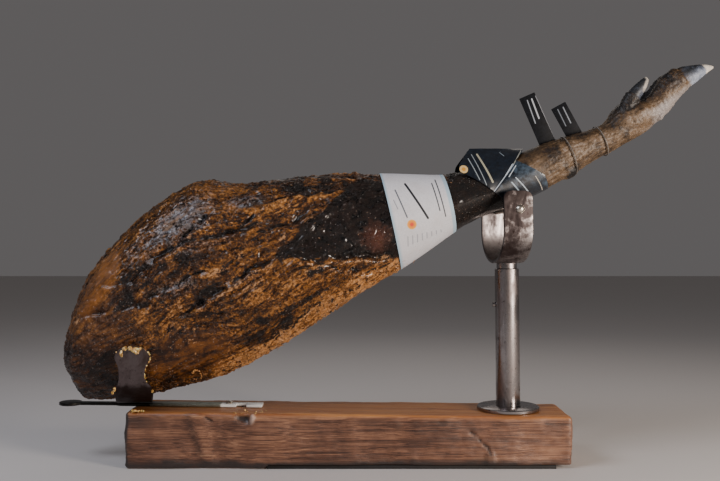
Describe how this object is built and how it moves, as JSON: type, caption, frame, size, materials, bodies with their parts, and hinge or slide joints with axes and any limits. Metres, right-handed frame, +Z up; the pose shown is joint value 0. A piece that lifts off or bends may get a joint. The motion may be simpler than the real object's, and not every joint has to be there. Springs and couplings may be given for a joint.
{
  "type": "cured ham on a carving stand",
  "caption": "Whole cured ham leg, rump to trotter, held by a steel cradle and a forked steel post on a rough wooden beam.",
  "frame": {"origin": "on the surface the stand is on, under the middle of the wooden beam's plan", "axes": "+X along the beam from the cradle under the rump to the fork under the shank, -Y towards the labelled side of the ham, +Z up"},
  "size_m": [0.7303, 0.1426, 0.4415],
  "materials": {
    "cured_ham": "oily cured fat and meat, satin",
    "paper": "matte paper",
    "dark_card": "satin card",
    "black_tag": "satin",
    "strap": "satin",
    "wood": "varnished rough-hewn",
    "rubber": "matte",
    "steel": "worn satin"
  },
  "bodies": {
    "root": {"ham": "cured_ham", "band_label": "paper", "neck_label": "dark_card", "tag_long": "black_tag", "tag_short": "black_tag", "seal_strap_1": "strap", "seal_strap_2": "strap", "beam": "wood", "base_pad": "rubber", "flange": "steel", "post": "steel", "fork_stem": "steel", "set_screw": "steel", "fork": "steel", "cross_bolt": "steel", "cradle": "steel", "cradle_bar": "steel", "bar_screw": "steel"}
  },
  "joints": []
}
